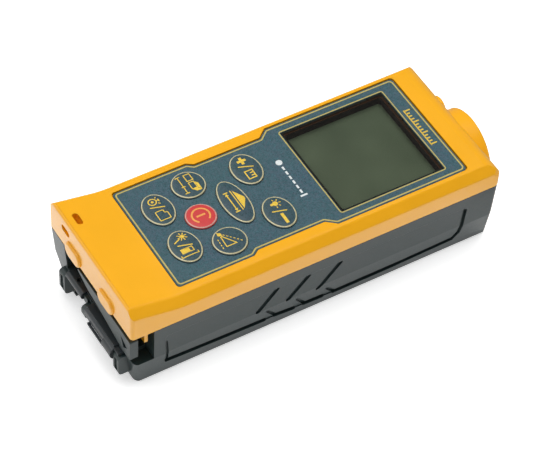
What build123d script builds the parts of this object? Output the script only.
from build123d import *
import math
import os

# Hand-held laser distance meter, lying on its back.  Millimetres.
# X = width (+X is the near side, with the finger gap), Y = length (+Y is the laser end,
# -Y the rear reference end), Z = up through the display.
# Origin: on the flat back, midway across the width, 59 mm forward of the rear end.

# --- case -------------------------------------------------------------------
BODY_L = 119.5              # shells, end to end
REAR_Y = -59.0
FRONT_Y = REAR_Y + BODY_L
FRONT_INNER_Y = 57.2        # inner face of the front wall
WALL = 1.8
FRONT_R, REAR_R = 2.5, 1.1  # corner radii in plan
SPLIT_Z = 22.55             # lower edge of the upper shell
BASE_TOP = 22.2             # upper edge of the lower shell; the seal fills the gap
KINK_Z = 10.5               # line where the lower sides turn inward
CHAMFER_Z = 27.75           # lower edge of the long top chamfers
FACE_Z = 30.6               # flat top face
HUMP = 3.0                  # rise of the top behind the key panel

BODY_HW = 47.7 / 2          # half widths: side bands,
BASE_HW = 23.68             # lower shell at its top,
KINK_HW = 23.62             # lower shell at the kink line,
BACK_HW = 42.9 / 2          # flat back,
FACE_HW = 43.0 / 2          # flat top face

# --- key panel, display opening and keys ------------------------------------
PANEL_Y0, PANEL_Y1 = -42.05, 50.5
PANEL_REAR_HW, PANEL_FRONT_HW, PANEL_WAIST_HW = 19.1, 20.2, 17.75
PANEL_TOP = 30.42
PANEL_T = 0.85
RECESS_Z = 29.55            # floor of the panel recess
WINDOW_HW, WINDOW_Y0, WINDOW_Y1 = 16.95, 10.9, 44.95   # opening in the panel
SIGHT_HW, SIGHT_Y0, SIGHT_Y1 = 16.2, 11.6, 44.25       # opening in the shell below it
KEY_TRAVEL = 0.6
KEY_STEM_INSET = 0.8
# name: (x, y, semi-axis x, semi-axis y)
KEYS = {
    "button_plus_unit": (-9.15, -4.57, 6.0, 4.5),
    "button_light_minus": (9.05, -4.57, 6.0, 4.5),
    "button_measure": (0.0, -13.4, 8.4, 4.0),
    "button_area_volume": (-11.7, -21.75, 5.0, 5.0),
    "button_pythagoras": (11.55, -21.75, 5.0, 5.0),
    "button_power": (0.0, -24.35, 4.5, 4.5),
    "button_timer": (-7.6, -33.5, 6.0, 4.5),
    "button_reference": (7.5, -33.5, 6.0, 4.5),
}

# --- optics -----------------------------------------------------------------
LENS_X, LENS_Z = 2.65, 16.3         # receiver axis
BEZEL_R, BEZEL_Y = 12.3, 63.9
LASER_X, LASER_Z = -8.2, 24.8       # laser axis
LASER_BOSS_R, LASER_BOSS_Y = 3.6, 60.3
BEZEL_CLEAR = 0.12                  # gap round the bezel in the front wall

# --- batteries, bay and door ------------------------------------------------
AAA_R, AAA_L = 5.25, 44.5
AAA_X, AAA_Z = 6.1, 7.75
AAA_SHIFT = 1.8                     # each cell sits this far off the bay centre
BAY_HW, BAY_Y0, BAY_Y1, BAY_TOP = 12.6, -51.0, -1.4, 13.4
BAY_MID_Y = (BAY_Y0 + BAY_Y1) / 2
BAY_WALL = 1.2
DOOR_Y1 = -1.0
NOTCH_Y = REAR_Y + 4.4              # front of the open notch under the rear recess

# --- rear end bracket -------------------------------------------------------
HINGE_Y, HINGE_Z = -59.2, 9.2
PIN_R = 0.6
EAR_R = 1.42
BRACKET_TOP = 20.6
KNUCKLE_Y, KNUCKLE_Z, KNUCKLE_R = -58.3, 11.2, 1.3     # short knuckle, far side

# --- circuit board and screws -----------------------------------------------
PCB_Z0, PCB_Z1 = 23.2, 24.4
FILM_T = 0.12
BUZZER_X, BUZZER_Y = 12.0, -30.0
CASE_SCREWS = [(-18.3, -46.0), (18.3, -46.0), (-18.3, 52.3), (18.3, 52.3)]
OPTICS_SCREWS = [(-9.0, 22.0), (14.0, 22.0)]
BOARD_SCREWS = [(-18.2, -8.0), (18.2, -8.0)]


# --- helpers ----------------------------------------------------------------
def plane_xz(y):
    return Plane(origin=(0, y, 0), x_dir=(1, 0, 0), z_dir=(0, -1, 0))


def plane_yz(x):
    return Plane(origin=(x, 0, 0), x_dir=(0, 1, 0), z_dir=(1, 0, 0))


def at_z(z, face):
    return Plane.XY.offset(z) * face


def box(x0, x1, y0, y1, z0, z1):
    centre = Pos((x0 + x1) / 2, (y0 + y1) / 2, (z0 + z1) / 2)
    return centre * Box(x1 - x0, y1 - y0, z1 - z0)


def polygon(points):
    return make_face(Polyline(*points, close=True))


def round_polygon(points, radii):
    """Polygon with its own radius on each corner (0 leaves it sharp)."""
    count = len(points)
    corners = []    # arc start, arc end, arc midpoint
    for i, (p, r) in enumerate(zip(points, radii)):
        if r <= 0:
            corners.append((p, p, None))
            continue
        units = []
        for q in (points[i - 1], points[(i + 1) % count]):
            dx, dy = q[0] - p[0], q[1] - p[1]
            length = math.hypot(dx, dy)
            units.append((dx / length, dy / length))
        (ax, ay), (bx, by) = units
        angle = math.acos(max(-1, min(1, ax * bx + ay * by)))
        trim = r / math.tan(angle / 2)
        start = (p[0] + ax * trim, p[1] + ay * trim)
        end = (p[0] + bx * trim, p[1] + by * trim)
        # the arc midpoint lies on the bisector, between corner and arc centre
        bisector = math.hypot(ax + bx, ay + by)
        reach = r / math.sin(angle / 2) - r
        middle = (p[0] + (ax + bx) / bisector * reach, p[1] + (ay + by) / bisector * reach)
        corners.append((start, end, middle))
    edges = []
    for i, (start, end, middle) in enumerate(corners):
        if middle is not None:
            edges.append(ThreePointArc(start, middle, end))
        following = corners[(i + 1) % count][0]
        if math.hypot(end[0] - following[0], end[1] - following[1]) > 1e-6:
            edges.append(Line(end, following))
    return make_face(Curve() + edges)


def plan(half_width, y_lo, y_hi, front_r, rear_r):
    """Rectangle in XY with its own front and rear corner radii."""
    return round_polygon(
        [(-half_width, y_lo), (half_width, y_lo), (half_width, y_hi), (-half_width, y_hi)],
        [rear_r, rear_r, front_r, front_r])


def slot(start, end, width):
    dx, dy = end[0] - start[0], end[1] - start[1]
    turn = math.degrees(math.atan2(dy, dx))
    centre = Pos((start[0] + end[0]) / 2, (start[1] + end[1]) / 2)
    return centre * Rot(0, 0, turn) * SlotOverall(math.hypot(dx, dy) + width, width)


def ext_y(face, y_hi, y_lo):
    """Extrude an XZ face from y_hi down to y_lo."""
    return extrude(plane_xz(y_hi) * face, amount=y_hi - y_lo)


def ext_x(face, x_lo, x_hi):
    """Extrude a YZ face."""
    return extrude(plane_yz(x_lo) * face, amount=x_hi - x_lo)


def ext_z(face, z_lo, z_hi):
    return extrude(at_z(z_lo, face), amount=z_hi - z_lo)


def cyl_y(x, z, r, y_lo, y_hi):
    return ext_y(Pos(x, z) * Circle(r), y_hi, y_lo)


def cyl_x(y, z, r, x_lo, x_hi):
    return ext_x(Pos(y, z) * Circle(r), x_lo, x_hi)


def cyl_z(x, y, r, z_lo, z_hi):
    return ext_z(Pos(x, y) * Circle(r), z_lo, z_hi)


def lens_cyl(r, y_lo, y_hi):
    """Cylinder on the receiver axis."""
    return cyl_y(LENS_X, LENS_Z, r, y_lo, y_hi)


def laser_cyl(r, y_lo, y_hi):
    """Cylinder on the laser axis."""
    return cyl_y(LASER_X, LASER_Z, r, y_lo, y_hi)


def lens_cone(r0, y0, r1, y1):
    """Cone on the receiver axis."""
    centre = Pos(LENS_X, LENS_Z)
    return loft([plane_xz(y0) * centre * Circle(r0), plane_xz(y1) * centre * Circle(r1)])


def oval(key, grow):
    x, y, semi_x, semi_y = key
    return Pos(x, y) * Ellipse(semi_x + grow, semi_y + grow)


def round_end(shape, y, r):
    """Fillet the edges lying in the plane at y."""
    return fillet(shape.edges().filter_by(lambda e: abs(e.center().Y - y) < 0.01), r)


def screw(x, y, head, shank):
    """Head and shank are each (radius, lower z, upper z)."""
    return cyl_z(x, y, *head) + cyl_z(x, y, *shank)


def one(shape):
    """The largest solid of a boolean result."""
    return max(shape.solids(), key=lambda s: s.volume)


def save(name, *shapes):
    """Write the main solid of each shape to one STEP file."""
    solids = [one(shape) for shape in shapes]
    out = solids[0] if len(solids) == 1 else Compound(children=solids)
    out.label = name
    export_step(out, f"parts/{name}.step")


# --- lower shell ------------------------------------------------------------
# both end walls lean in, more so below DRAFT_Z
DRAFT_Z = 12.0
REAR_MID, REAR_LOW = REAR_Y + 0.9, REAR_Y + 2.6
FRONT_MID, FRONT_LOW = FRONT_Y - 0.8, FRONT_Y - 1.9
KINK_SHARE = KINK_Z / DRAFT_Z
REAR_KINK = REAR_LOW + (REAR_MID - REAR_LOW) * KINK_SHARE
FRONT_KINK = FRONT_LOW + (FRONT_MID - FRONT_LOW) * KINK_SHARE
# z, then half width, rear y, front y, front radius, rear radius
DRAFT_TIERS = [
    (0, BACK_HW + 0.06, REAR_LOW, FRONT_LOW, 0.35, 2.2),
    (KINK_Z, KINK_HW + 0.06, REAR_KINK, FRONT_KINK, FRONT_R, 1.7),
    (DRAFT_Z, BASE_HW, REAR_MID, FRONT_MID, FRONT_R, REAR_R),
    (BASE_TOP, BASE_HW, REAR_Y, FRONT_Y, FRONT_R, REAR_R),
]
RECESS_Y = REAR_Y + 7.1     # front wall of the rear recess
RECESS_FLOOR = 11.9
LIP_Z = 9.6                 # top of the notch under the recess

# side grip panel: (y, z) and corner radius
GRIP_TOP = 18.1
GRIP_OUTLINE = [
    (-48.4, GRIP_TOP), (-48.4, 5.3), (-16.0, 4.6), (6.8, 3.7),
    (27.5, 3.8), (46.8, 4.5), (48.6, 7.6), (49.1, GRIP_TOP)]
GRIP_RADII = [1.0, 2.2, 0, 0, 0, 1.5, 1.5, 1.0]
GRIP_DEPTH, GROOVE_DEPTH = 0.3, 1.0
# grip grooves, edges and three chevrons: start (y, z), end (y, z), width
GROOVES = [
    ((-47.9, 15.0), (-47.3, 6.0), 0.9), ((-47.3, 6.0), (-31.4, 5.25), 1.5),
    ((-31.4, 5.25), (-16.2, 4.65), 1.5), ((-18.9, 10.8), (-13.0, 17.5), 1.55),
    ((-15.6, 8.9), (-12.7, 5.1), 1.1), ((-12.6, 4.9), (-6.7, 4.25), 1.6),
    ((-9.2, 10.7), (-2.9, 17.4), 1.55), ((-5.9, 8.5), (-3.1, 4.5), 1.1),
    ((-3.0, 4.3), (2.8, 4.05), 1.6), ((0.6, 9.8), (7.4, 17.3), 1.55),
    ((4.1, 7.2), (6.7, 4.0), 1.1), ((6.8, 3.8), (27.5, 3.9), 1.5),
    ((27.5, 3.9), (46.4, 4.7), 1.3), ((46.4, 4.7), (48.1, 7.2), 1.2),
    ((48.1, 7.2), (49.0, 17.0), 1.1),
]


def base_section(inset=0.0, top=BASE_TOP):
    """XZ section of the lower shell."""
    slant = math.hypot(KINK_HW - BACK_HW, KINK_Z)
    back = BACK_HW - inset * slant / KINK_Z + (KINK_HW - BACK_HW) / KINK_Z * inset
    side, kink = BASE_HW - inset, KINK_HW - inset
    foot_r = max(0.35, 0.7 - inset)
    return round_polygon(
        [(-side, top), (-kink, KINK_Z), (-back, inset), (back, inset), (kink, KINK_Z), (side, top)],
        [0, 2.5, foot_r, foot_r, 2.5, 0])


def base_envelope():
    tiers = [loft([at_z(low[0], plan(*low[1:])), at_z(high[0], plan(*high[1:]))], ruled=True)
             for low, high in zip(DRAFT_TIERS, DRAFT_TIERS[1:])]
    drafted = tiers[0] + tiers[1] + tiers[2]
    # side view that rounds the two lower end edges
    profile = round_polygon(
        [(REAR_Y - 2, BASE_TOP), (REAR_Y - 2, 6.0), (REAR_LOW - 0.35, 0),
         (FRONT_LOW + 0.1, 0), (FRONT_Y + 2, 6.0), (FRONT_Y + 2, BASE_TOP)],
        [0, 0, 1.6, 1.0, 0, 0])
    return ext_y(base_section(), FRONT_Y, REAR_Y) & drafted & ext_x(profile, -30, 30)


def front_opening():
    """Clearance for the bezel ring and laser boss through the front wall."""
    y_lo, y_hi = FRONT_INNER_Y - 4.3, FRONT_Y + 6
    return (lens_cyl(BEZEL_R + BEZEL_CLEAR, y_lo, y_hi)
            + laser_cyl(LASER_BOSS_R + BEZEL_CLEAR, y_lo, y_hi))


def hollow_base(envelope):
    """Main cavity, battery bay walls, door surround and screw posts."""
    rear = REAR_Y + 7.9
    cavity = (ext_y(base_section(WALL, top=40), FRONT_INNER_Y, rear)
              & ext_z(plan(BASE_HW - WALL, rear, FRONT_INNER_Y, 1.0, 0.8), -1, 40))
    wall_x, wall_y1 = BAY_HW + BAY_WALL, BAY_Y1 + BAY_WALL
    shell = (envelope - cavity
             + box(-wall_x, wall_x, BAY_Y0 - BAY_WALL, wall_y1, 0.4, BAY_TOP + BAY_WALL)
             + box(-16.0, 16.0, REAR_Y + 4.0, wall_y1, 0.4, 3.4)
             + box(-BAY_HW, BAY_HW, REAR_Y + 3.8, BAY_Y0, 0.4, 10.6))
    shell = shell & envelope
    for x, y in CASE_SCREWS:
        shell = shell + (cyl_z(x, y, 3.1, 0.3, BASE_TOP - 0.2) & envelope)
    for x, y in OPTICS_SCREWS:
        shell = shell + cyl_z(x, y, 2.4, 1.0, 9.0)
    return shell


def cut_battery_bay(shell):
    """Bay open to the back, cradle ribs under its roof, and the stepped door opening."""
    shell = shell - box(-BAY_HW, BAY_HW, BAY_Y0, BAY_Y1, -1, BAY_TOP)
    shell = shell - box(-BAY_HW, BAY_HW, REAR_Y + 6.1, BAY_Y0 + 0.1, -1, 8.4)
    for y in (-44.0, -26.0, -8.0):
        rib = box(-BAY_HW - 0.1, BAY_HW + 0.1, y, y + 1.2, 9.4, BAY_TOP + 0.1)
        for x in (-AAA_X, AAA_X):
            rib = rib - cyl_y(x, AAA_Z, AAA_R + 0.15, y - 1, y + 2.5)
        shell = shell + rib
    shell = shell - box(-13.15, 13.15, REAR_Y - 1, DOOR_Y1 + 0.15, -1, 1.0)
    return shell - box(-14.55, 14.55, REAR_Y - 1, DOOR_Y1 + 0.15, 0.95, 2.25)


def cut_rear_recess(shell):
    """Recess for the bracket, the notch under it, and the hinge seats."""
    far_x, near_x = -13.85, 16.05
    shell = (shell
             - box(-15.3, 30, REAR_Y - 2, RECESS_Y, RECESS_FLOOR, 40)
             - box(19.0, 30, REAR_Y - 2, RECESS_Y, 10.6, 40)
             - box(far_x, near_x, REAR_Y - 3, NOTCH_Y, -1, LIP_Z)
             + box(-6.2, -2.4, REAR_Y + 0.3, NOTCH_Y, LIP_Z, RECESS_FLOOR))
    # relief for the hinge bar, open to the rear
    shell = (shell
             - cyl_x(HINGE_Y, HINGE_Z, 2.65, -0.3, near_x)
             - box(-0.3, near_x, REAR_Y - 3, HINGE_Y + 0.6, HINGE_Z - 3.4, RECESS_FLOOR + 1))
    # seat of the short knuckle
    return (shell
            - cyl_x(KNUCKLE_Y, KNUCKLE_Z, KNUCKLE_R + 0.2, far_x, -4.45)
            - box(far_x, -4.45, REAR_Y - 3, KNUCKLE_Y, LIP_Z - 1, RECESS_FLOOR + 1))


def ear(x_lo, x_hi, y, low):
    """Hinge ear: round at the top, straight down to a rounded foot at z = low."""
    rear, front = y - EAR_R, REAR_Y + 5.6
    profile = (Pos(y, HINGE_Z) * Circle(EAR_R)) + round_polygon(
        [(rear, HINGE_Z), (rear + 0.1, low), (front, low),
         (front, HINGE_Z + EAR_R), (y, HINGE_Z + EAR_R)],
        [0, 1.2, 0, 0, 0])
    return ext_x(profile, x_lo, x_hi)


def add_ears(shell):
    for x_lo, x_hi, y, low in ((-17.3, -13.9, -58.45, 2.6), (16.1, 19.2, HINGE_Y, 3.3)):
        # groove down the rear of each outer ear
        x_mid = (x_lo + x_hi) / 2
        groove = box(x_mid - 0.8, x_mid + 0.8, -62.5, y - 0.95, low + 1.1, 9.4)
        shell = shell + (ear(x_lo, x_hi, y, low) - groove)
    shell = shell + ear(-2.5, -0.4, HINGE_Y, 6.7)
    shell = shell - cyl_x(HINGE_Y, HINGE_Z, PIN_R + 0.01, -1.8, 18.4)
    # clear the sweep of the bracket web above the near ear
    return shell - (cyl_x(HINGE_Y, HINGE_Z, 4.2, 15.45, 18.35)
                    - cyl_x(HINGE_Y, HINGE_Z, 1.45, 15, 19)
                    - box(15, 19, -70, -50, -5, HINGE_Z + EAR_R))


def grip_cutter():
    """Shallow grip panel and its grooves, on the near side."""
    grooves = slot(*GROOVES[0])
    for stroke in GROOVES[1:]:
        grooves = grooves + slot(*stroke)
    groove_core = ext_y(base_section(GROOVE_DEPTH, top=60), 70, -70)
    grip_core = ext_y(base_section(GRIP_DEPTH, top=60), 70, -70)
    return ((ext_x(round_polygon(GRIP_OUTLINE, GRIP_RADII), 18, 30) - grip_core)
            + (ext_x(grooves, 18, 30) - groove_core))


def bottom_shell(envelope):
    shell = add_ears(cut_rear_recess(cut_battery_bay(hollow_base(envelope))))
    for x, y in CASE_SCREWS:
        shell = shell - cyl_z(x, y, 1.15, -1, 40) - cyl_z(x, y, 2.35, -1, 3.4)
    for x, y in OPTICS_SCREWS:
        shell = shell - cyl_z(x, y, 0.82, 3.0, 12)
    shell = shell - (front_opening() & box(-30, 30, FRONT_INNER_Y - 0.6, FRONT_Y + 6, -5, 40))
    grip = grip_cutter()
    return shell - grip - mirror(grip, about=Plane.YZ)


# --- battery door: slides rearward in the runners ---------------------------
def battery_door(envelope):
    door = (box(-13.0, 13.0, NOTCH_Y, DOOR_Y1, 0.0, 2.1)
            + box(-14.4, 14.4, NOTCH_Y, DOOR_Y1, 1.1, 2.1))
    door = (door & envelope) - box(-30, 30, -70, 9, -1, 0.12)
    # thumb grooves and arrow head on the outside
    relief_z = 0.62
    for i in range(7):
        y = -30.0 - i * 1.6
        door = door - box(-6.5, 6.5, y - 0.4, y + 0.4, -1, relief_z)
    door = door - ext_z(polygon([(-3.2, -44.2), (3.2, -44.2), (0, -47.4)]), -1, relief_z)
    # light ribs inside
    for x in (-12.0, -0.4, 11.2):
        door = door + box(x, x + 0.8, -50.0, -3.0, 2.1, 2.2)
    return door - box(-11.0, 11.0, -53.8, -51.6, 1.2, 3.0)


# --- end bracket, hinge bar, pin and plunger --------------------------------
# blade outline (x, z) and corner radii
BLADE = [(22.9, 13.1), (22.9, BRACKET_TOP), (-8.2, BRACKET_TOP), (-6.4, 19.6),
         (-1.8, 17.7), (5.7, 16.35), (12.9, 14.5), (18.6, 13.15)]
BLADE_RADII = [0.4, 0.6, 0.35, 0.3, 1.5, 6.0, 6.0, 1.0]
BLADE_STEP = [(19.2, 15.0), (21.3, 16.4), (17.6, 18.6)]
BLADE_POCKET = [(21.2, 15.4), (21.2, 19.2), (-1.0, 19.2), (4.5, 17.9), (12.0, 16.4)]


def end_bracket():
    """Tapered blade standing across the rear end, with a web down to the hinge bar."""
    return (ext_y(round_polygon(BLADE, BLADE_RADII), REAR_Y + 2.55, REAR_Y)
            # step in the outer face, near the +X end
            - ext_y(polygon(BLADE_STEP), REAR_Y + 0.9, REAR_Y - 0.5)
            # inner pocket
            - ext_y(round_polygon(BLADE_POCKET, [0.4] * 5), REAR_Y + 3, REAR_Y + 1.7)
            + box(16.08, 18.25, REAR_Y + 0.35, REAR_Y + 1.9, 10.75, 13.6))


def short_knuckle():
    x_lo, x_hi = -13.7, -4.6
    top, front = KNUCKLE_Z + KNUCKLE_R, KNUCKLE_Y + 0.9
    web = round_polygon(
        [(KNUCKLE_Y, KNUCKLE_Z), (KNUCKLE_Y, top), (-56.3, top), (-56.3, 12.0),
         (front, 12.0), (front, KNUCKLE_Z)],
        [0, 0, 0.2, 0, 0, 0])
    return cyl_x(KNUCKLE_Y, KNUCKLE_Z, KNUCKLE_R, x_lo, x_hi) + ext_x(web, x_lo, x_hi)


def hinge_bar():
    """Long knuckle on the pin, joined to the short knuckle and the bracket web."""
    x_lo, r, crest_z = -0.2, 1.55, 11.75
    rear, front = HINGE_Y - r, HINGE_Y + 0.55
    crest = round_polygon(
        [(rear, HINGE_Z), (rear, crest_z), (front, crest_z), (front, HINGE_Z)],
        [0, 0.9, 0.2, 0])
    bar = (cyl_x(HINGE_Y, HINGE_Z, r, x_lo, 11.2)
           + cyl_x(HINGE_Y, HINGE_Z, 2.35, 10.9, 15.95)
           + ext_x(crest, x_lo, 15.95))
    # slender rail behind the knuckle, joined at both ends
    bar = (bar
           + box(2.4, 11.0, -61.35, -60.62, 7.95, 8.45)
           + box(2.4, 3.0, -61.35, -60.2, 7.95, 8.75)
           + box(10.5, 11.2, -61.35, -60.2, 7.95, 8.9))
    # flange joining both knuckles, then the tongue out to the web
    bar = (bar + short_knuckle()
           + box(-5.2, 15.7, -57.6, -56.45, 12.0, 12.5)
           + box(x_lo, 15.7, -60.0, -58.6, 11.6, 12.3)
           + box(x_lo, 15.7, -58.7, -57.5, 12.0, 12.3)
           + box(15.5, 18.25, REAR_Y - 1.2, REAR_Y + 0.3, 10.72, 11.7))
    # blind socket in the short knuckle, then the pin bore
    return (bar
            - cyl_z(-9.2, -57.3, 0.9, 11.4, 14)
            - cyl_x(HINGE_Y, HINGE_Z, PIN_R + 0.05, -2.0, 20))


def sensor_plunger():
    x, z, r, tip_y = -9.5, 16.2, 1.1, REAR_Y + 4.2
    return cyl_y(x, z, r, tip_y, REAR_Y + 7.08) + Pos(x, tip_y, z) * Sphere(r)


# --- seal -------------------------------------------------------------------
def case_seal():
    outer = plan(BASE_HW - 0.45, REAR_Y + 7.3, FRONT_Y - 0.5, 2.0, 1.0)
    inner = plan(BASE_HW - 1.45, REAR_Y + 8.1, FRONT_Y - 1.5, 1.2, 0.6)
    seal = ext_z(outer, BASE_TOP, SPLIT_Z) - ext_z(inner, 20, 30) - front_opening()
    for x, y in CASE_SCREWS:
        seal = seal - cyl_z(x, y, 3.3, 20, 30)
    return seal


# --- upper shell ------------------------------------------------------------
# (y, rise of the top) from the panel back to the rear end
RAMP = [(-42.3, 0.0), (-44.2, 0.12), (-46.2, 0.42), (REAR_Y, HUMP)]
FRONT_EDGE_R = 6.0
REAR_EDGE_R = 0.75
# interior section (x, z)
TOP_CAVITY = [(-22.05, 10), (22.05, 10), (22.05, 26.6), (20.2, 28.4), (-20.2, 28.4), (-22.05, 26.6)]


def top_section(lift=0.0):
    """XZ section of the upper shell, its top raised by lift."""
    edge, face = CHAMFER_Z + lift, FACE_Z + lift
    return round_polygon(
        [(-BODY_HW, SPLIT_Z), (BODY_HW, SPLIT_Z), (BODY_HW, edge),
         (FACE_HW, face), (-FACE_HW, face), (-BODY_HW, edge)],
        [0, 0, 1.0, 1.3, 1.3, 1.0])


def front_edge_tool():
    """Cutter that leaves the large soft radius along the front top edge."""
    y, z = FRONT_Y - FRONT_EDGE_R, FACE_Z - FRONT_EDGE_R
    return box(-30, 30, y, FRONT_Y + 5, z, FACE_Z + 5) - cyl_x(y, z, FRONT_EDGE_R, -30, 30)


def rear_edge_tool():
    top = FACE_Z + HUMP
    y, z = REAR_Y + REAR_EDGE_R, top - REAR_EDGE_R - 0.27
    return box(-30, 30, REAR_Y - 5, y, z, top + 5) - cyl_x(y, z, REAR_EDGE_R, -30, 30)


def front_corner_tool():
    """Runs the long chamfers round the front corners, opening out towards the top."""
    low, high = 26.4, FACE_Z + 1
    return box(-30, 30, 40, FRONT_Y + 5, low, high) - loft(
        [at_z(low, plan(BODY_HW, 30, FRONT_Y, FRONT_R, 0)),
         at_z(high, plan(BODY_HW, 30, FRONT_Y - 0.9, 6.2, 0))], ruled=True)


def top_envelope():
    outer = ext_y(top_section(), FRONT_Y, RAMP[0][0])
    for (y_front, rise_front), (y_rear, rise_rear) in zip(RAMP, RAMP[1:]):
        section = plane_xz(y_front) * top_section(lift=rise_front)
        step = Vector(0, y_rear - y_front, rise_rear - rise_front)
        outer = outer + extrude(section, amount=step.length, dir=step)
        # fill below the sheared section
        outer = outer + box(-BODY_HW, BODY_HW, y_rear, y_front, SPLIT_Z, CHAMFER_Z)
    outer = outer - front_edge_tool() - rear_edge_tool()
    outer = outer & ext_z(plan(BODY_HW, REAR_Y, FRONT_Y, FRONT_R, REAR_R), 0, 60)
    return outer - front_corner_tool()


def panel_outline(gap=0.0):
    rear, front, waist = PANEL_REAR_HW + gap, PANEL_FRONT_HW + gap, PANEL_WAIST_HW + gap
    y0, y1 = PANEL_Y0 - gap, PANEL_Y1 + gap
    # y where the sides step in to the waist and out again
    in0, in1, out0, out1 = -18.45, -16.55, 4.75, 7.75
    bend_r = 0.9
    return round_polygon(
        [(-rear, y0), (rear, y0), (rear, in0), (waist, in1), (waist, out0), (front, out1),
         (front, y1), (-front, y1), (-front, out1), (-waist, out0), (-waist, in1), (-rear, in0)],
        [1.1] * 2 + [bend_r] * 4 + [1.3] * 2 + [bend_r] * 4)


def hollow_top(outer):
    """Cavity, with the case screw bosses standing in it."""
    cavity = (ext_y(round_polygon(TOP_CAVITY, [0] * 6), FRONT_INNER_Y, REAR_Y + 7.5)
              - front_edge_tool().moved(Location((0, -WALL, -2.2)))
              + box(-20.5, 20.5, REAR_Y + 1.8, REAR_Y + 12.5, 23.8, 31.0))
    upper = outer - cavity
    for x, y in CASE_SCREWS:
        upper = upper + (cyl_z(x, y, 2.7, SPLIT_Z - 0.3, 29.0)
                         & ext_z(plan(22.3, -57, 57.5, 1, 1), 0, 60))
    return upper & (outer + box(-22.0, 22.0, -57, 57, 21.0, 26.0))


def top_shell():
    outer = top_envelope()
    upper = hollow_top(outer)
    # panel recess, display opening and key holes
    upper = upper - ext_z(panel_outline(0.24), RECESS_Z, 40)
    upper = upper - box(-SIGHT_HW, SIGHT_HW, SIGHT_Y0, SIGHT_Y1, 20, 40)
    for key in KEYS.values():
        upper = upper - ext_z(oval(key, -0.55), 20, 40)
    # lanyard tunnel: down through the hump and out of the rear wall, in its own boss
    upper = upper + (box(-17.2, -10.6, REAR_Y + 1.2, REAR_Y + 6.0, 26.2, 31.3) & outer)
    upper = upper - ext_z(slot((-14.9, -55.4), (-12.4, -55.4), 1.9), 28.0, 40)
    upper = upper - ext_y(slot((-15.3, 29.3), (-13.0, 29.3), 2.3), REAR_Y + 4.4, REAR_Y - 3)
    # two pillow-shaped tabs at the lower edge of the rear wall
    tab_y = REAR_Y - 0.75
    for x in (-9.5, 9.5):
        tab = ext_y(slot((x - 1.75, 24.15), (x + 1.75, 24.15), 5.3), REAR_Y + 1.0, tab_y)
        upper = upper + round_end(tab, tab_y, 0.7)
    # rib under the near side, by the finger gap
    upper = upper + box(20.4, 22.2, -54.2, -53.1, 17.3, 24.2)
    for x, y in CASE_SCREWS:
        upper = upper - cyl_z(x, y, 1.02, 10, 27.6)
    # bezel opening and the seat of its flange
    upper = upper - (front_opening() & box(-30, 30, FRONT_INNER_Y - 6, FRONT_Y + 6, -5, 40))
    seat = lens_cyl(BEZEL_R + 1.05, 55.4, 57.3) + laser_cyl(LASER_BOSS_R + 0.95, 55.4, 57.3)
    upper = one(upper - (seat & box(-20, 20, 50, 60, 0, 28.35)))
    # bosses for the circuit board screws
    for x, y in BOARD_SCREWS:
        upper = upper + (cyl_z(x, y, 1.9, PCB_Z1 + 0.02, 28.9)
                         & box(-30, 30, -60, 60, 0, 29.0))
        upper = upper - cyl_z(x, y, 0.92, 10, 28.4)
    return upper


# --- key panel, window, keys and domes --------------------------------------
def key_panel():
    panel = ext_z(panel_outline(), RECESS_Z, RECESS_Z + PANEL_T)
    panel = panel - box(-WINDOW_HW, WINDOW_HW, WINDOW_Y0, WINDOW_Y1, 20, 40)
    for key in KEYS.values():
        panel = panel - ext_z(oval(key, 0.12), 20, 40)
    panel = one(panel)
    return chamfer(panel.faces().sort_by(Axis.Z)[-1].outer_wire().edges(), 0.18)


def display_window():
    gap = 0.1
    return box(-WINDOW_HW + gap, WINDOW_HW - gap, WINDOW_Y0 + gap, WINDOW_Y1 - gap,
               RECESS_Z, RECESS_Z + 0.72)


def keycap(key):
    """Skirt through the panel, low crown, narrower stem through the shell."""
    edge_z, crown_z = PANEL_TOP + 0.16, PANEL_TOP + 0.62
    shoulder_z, shoulder = edge_z + 0.24, -0.28
    cap = (ext_z(oval(key, 0), RECESS_Z + 0.05, edge_z)
           + loft([at_z(edge_z, oval(key, 0)), at_z(shoulder_z, oval(key, shoulder))])
           + loft([at_z(shoulder_z, oval(key, shoulder)), at_z(crown_z, oval(key, -1.5))]))
    # relief so the cap can sink by its travel
    relief = (ext_z(oval(key, 1), RECESS_Z - 1, RECESS_Z + KEY_TRAVEL + 0.1)
              - ext_z(oval(key, -KEY_STEM_INSET), RECESS_Z - 2, RECESS_Z + 2))
    stem = ext_z(oval(key, -KEY_STEM_INSET), 27.4, RECESS_Z + 0.5)
    post = cyl_z(key[0], key[1], 1.6, 25.6, 27.5)
    flange = ext_z(oval(key, -0.15), 27.35, 28.3)
    return cap - relief + stem + post + flange


def switch_dome(x, y):
    foot, step, top = PCB_Z1 + FILM_T, PCB_Z1 + 0.25, PCB_Z1 + 0.5
    return cyl_z(x, y, 2.4, foot, step) + cyl_z(x, y, 1.7, step, top)


# --- electronics ------------------------------------------------------------
def circuit_board():
    board = ext_z(plan(19.8, -42.3, 40.0, 1, 1), PCB_Z0, PCB_Z1)
    for x, y in BOARD_SCREWS:
        board = board - cyl_z(x, y, 0.95, 20, 30)
    return board


def display_glass():
    return box(-17.6, 17.6, 9.4, 46.9, 25.3, 27.3) + box(-17.6, 17.6, 4.6, 9.5, 25.3, 26.3)


def buzzer():
    return (cyl_z(BUZZER_X, BUZZER_Y, 4.6, 19.9, PCB_Z0)
            - cyl_z(BUZZER_X, BUZZER_Y, 0.8, 15, 20.6))


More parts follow.
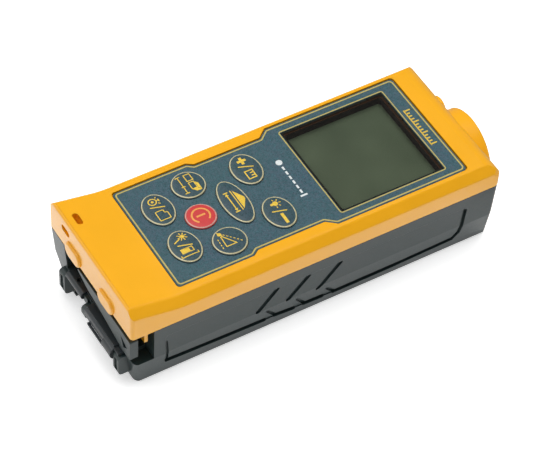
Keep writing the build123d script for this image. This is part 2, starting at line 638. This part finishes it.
# --- optics -----------------------------------------------------------------
def optics_carrier():
    """Receiver cone and laser tube on a saddle, then their bores."""
    carrier = (lens_cone(3.2, 20.0, 9.2, 54.0)
               + lens_cyl(10.2, 53.4, 57.0)
               + lens_cyl(6.0, 17.0, 20.4)
               + laser_cyl(3.45, 49.0, 57.0)
               + box(LASER_X - 2.5, LENS_X, 53.4, 55.0, 17.0, 25.0)
               + box(-11.6, 16.6, 19.4, 24.6, 9.2, 11.2)
               + box(-2.6, 7.9, 19.4, 24.6, 10.0, 13.8)
               - lens_cone(2.3, 18.5, 8.3, 54.1)
               - lens_cyl(2.0, 10, 25)
               - lens_cyl(8.6, 54.0, 60)
               - laser_cyl(2.72, 40, 60))
    for x, y in OPTICS_SCREWS:
        carrier = carrier - cyl_z(x, y, 1.05, 5, 13)
    return carrier


def receiver_lens():
    r, rim_y, dome_r = 8.5, 56.4, 16.0
    dome_y = rim_y - math.sqrt(dome_r ** 2 - r ** 2)
    dome = (Pos(LENS_X, dome_y, LENS_Z) * Sphere(dome_r)) & lens_cyl(r, 56.3, 62)
    return lens_cyl(r, 54.1, rim_y) + dome


def collimator_lens():
    r = 1.65
    dome = (Pos(LASER_X, 52.0, LASER_Z) * Sphere(3.43)) & laser_cyl(r, 54.9, 58)
    return laser_cyl(r, 54.0, 55.0) + dome


def front_bezel():
    """Receiver ring and laser boss in one piece, flanged behind the front wall."""
    back_y, flange_y = 57.3, 57.12
    bezel = (round_end(lens_cyl(BEZEL_R, back_y, BEZEL_Y), BEZEL_Y, 1.1)
             + round_end(laser_cyl(LASER_BOSS_R, back_y, LASER_BOSS_Y), LASER_BOSS_Y, 0.7))
    flange = (lens_cyl(BEZEL_R + 0.9, 55.7, flange_y)
              + laser_cyl(LASER_BOSS_R + 0.8, back_y - 0.9, flange_y))
    return (bezel + (flange & box(-17, 17, 50, 60, 2.2, 28.2))
            # necks joining flange and front
            + lens_cyl(11.6, 56.9, 57.6)
            + laser_cyl(3.3, 56.9, 57.6)
            # sockets for the carrier
            - lens_cyl(10.35, 50, 57.2)
            - laser_cyl(3.5, 50, 57.15)
            # receiver aperture and its flare
            - lens_cyl(8.4, 50, 80)
            - lens_cone(8.4, 57.9, 10.7, BEZEL_Y + 0.01)
            # laser aperture and window seat
            - laser_cyl(1.5, 50, 80)
            - laser_cyl(2.3, 58.7, 80))


# --- battery parts ----------------------------------------------------------
CONTACT_GAP, CONTACT_FACE = 0.05, 0.45  # contact plate faces, from the bay end
SPRING_START = 0.80                     # coil start, from the bay end
SPRING_TIP_GAP = 0.35                   # coil end, short of the cell


def aaa_cell():
    """Cell on the XZ axis, its nib towards +Y."""
    body = fillet(cyl_y(0, 0, AAA_R, -AAA_L / 2, AAA_L / 2 - 1.0).edges(), 0.4)
    return body + cyl_y(0, 0, 1.9, AAA_L / 2 - 1.1, AAA_L / 2)


def coil(x, start_y, tip_y):
    length = abs(tip_y - start_y)
    helix = Helix(pitch=length / 3.0, height=length, radius=2.3,
                  center=(0, 0, 0), direction=(0, 0, 1))
    wire = Plane(origin=helix @ 0, z_dir=helix % 0) * Circle(0.28)
    turn = Rot(-90, 0, 0) if tip_y > start_y else Rot(90, 0, 0)
    return Pos(x, start_y, AAA_Z) * turn * sweep(wire, path=helix, is_frenet=True)


def battery_springs():
    """Rear coil for the -X cell, front coil for the +X cell."""
    rear_tip = BAY_MID_Y + AAA_SHIFT - AAA_L / 2 - SPRING_TIP_GAP
    front_tip = BAY_MID_Y - AAA_SHIFT + AAA_L / 2 + SPRING_TIP_GAP
    return [coil(-AAA_X, BAY_Y0 + SPRING_START, rear_tip),
            coil(AAA_X, BAY_Y1 - SPRING_START, front_tip)]


def battery_contacts():
    """Two plates at the rear of the bay, one wide plate at the front."""
    rear = (BAY_Y0 + CONTACT_GAP, BAY_Y0 + CONTACT_FACE)
    front = (BAY_Y1 - CONTACT_FACE, BAY_Y1 - CONTACT_GAP)
    return [box(x_lo, x_hi, *ends, 3.2, 9.0)
            for x_lo, x_hi, ends in ((-11.4, -0.9, rear), (0.9, 11.4, rear), (-11.4, 11.4, front))]


def case_screw(x, y):
    """Long screw with a cross slot in its head."""
    return (screw(x, y, (2.05, 1.7, 3.35), (1.0, 3.3, 26.4))
            - box(x - 1.3, x + 1.3, y - 0.25, y + 0.25, 0, 2.5)
            - box(x - 0.25, x + 0.25, y - 1.3, y + 1.3, 0, 2.5))


# --- build and write every piece --------------------------------------------
os.makedirs("parts", exist_ok=True)

base = base_envelope()
save("bottom_shell", bottom_shell(base))
save("battery_door", battery_door(base))
save("end_bracket", end_bracket())
save("bracket_hinge_bar", hinge_bar())
save("bracket_pin", cyl_x(HINGE_Y, HINGE_Z, PIN_R, -1.7, 18.3))
save("bracket_sensor_plunger", sensor_plunger())
save("case_seal", case_seal())
save("top_shell", top_shell())
save("key_panel", key_panel())
save("display_window", display_window())
for name, key in KEYS.items():
    save(name, keycap(key))
save("switch_domes", *[switch_dome(x, y) for x, y, _, _ in KEYS.values()])
save("dome_carrier_film", box(-15.6, 15.6, -39.5, 1.5, PCB_Z1, PCB_Z1 + FILM_T))

save("main_circuit_board", circuit_board())
save("display_glass", display_glass())
save("display_backlight", box(-17.0, 17.0, 9.6, 46.6, 24.55, 25.25))
save("display_connector", box(-14.5, 14.5, 4.9, 7.3, PCB_Z1, 25.3))
save("buzzer", buzzer())
save("processor", box(-6.0, 4.0, -12.0, -2.0, 21.8, PCB_Z0))
save("board_screws", *[screw(x, y, (1.6, PCB_Z0 - 1.3, PCB_Z0), (0.9, PCB_Z0 - 0.1, 28.2))
                       for x, y in BOARD_SCREWS])

save("optics_carrier", optics_carrier())
save("optics_screws", *[screw(x, y, (1.9, 11.25, 12.4), (0.8, 4.0, 11.3))
                        for x, y in OPTICS_SCREWS])
save("receiver_lens", receiver_lens())
save("detector_board", box(LENS_X - 7, LENS_X + 7, 15.6, 16.8, 10.4, 22.2))
save("photodiode", lens_cyl(1.9, 16.8, 19.4))
save("laser_barrel", laser_cyl(2.68, 48.4, 56.2) - laser_cyl(1.7, 51.0, 60))
save("laser_diode", laser_cyl(1.65, 51.0, 52.6))
save("collimator_lens", collimator_lens())
save("front_bezel", front_bezel())
save("laser_window", laser_cyl(2.22, 58.75, 59.5))

save("battery_left", Pos(-AAA_X, BAY_MID_Y + AAA_SHIFT, AAA_Z) * aaa_cell())
save("battery_right", Pos(AAA_X, BAY_MID_Y - AAA_SHIFT, AAA_Z) * aaa_cell().mirror(Plane.XZ))
save("battery_springs", *battery_springs())
save("battery_contacts", *battery_contacts())
save("case_screws", *[case_screw(x, y) for x, y in CASE_SCREWS])
